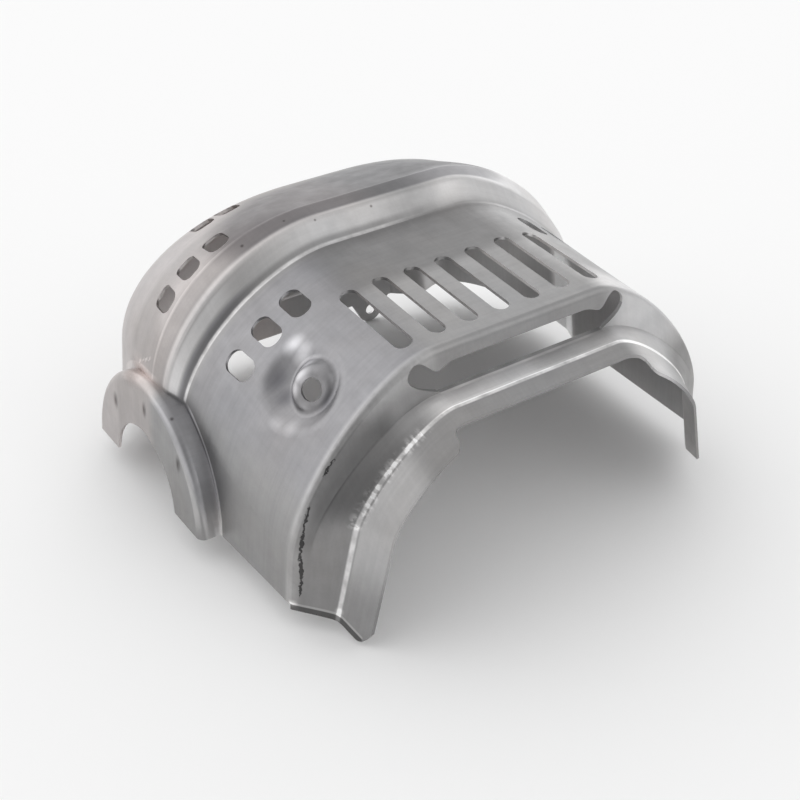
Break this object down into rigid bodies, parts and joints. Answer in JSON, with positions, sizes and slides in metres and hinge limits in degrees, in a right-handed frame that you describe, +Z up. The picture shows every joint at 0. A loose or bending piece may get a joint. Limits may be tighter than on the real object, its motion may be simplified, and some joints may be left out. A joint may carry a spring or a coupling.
{
  "type": "exhaust heat shield",
  "caption": "Pressed steel cover that shields an exhaust from above, with cooling slots, a bolt seat, an arched open front and a half-round mouth in one side.",
  "frame": {"origin": "middle of the bounding box's lowest face, on the level surface that the shield stands on", "axes": "+X across the shield, away from the side with the half-round mouth; +Y from the open front arch back to the closed dome; +Z up, out of the crown"},
  "size_m": [0.214, 0.1876, 0.109],
  "materials": {
    "bare_steel": "bare pressed sheet steel, dull, with fine drawing lines, rubbed bright on the creases"
  },
  "bodies": {
    "root": {"shield": "bare_steel"}
  },
  "joints": []
}
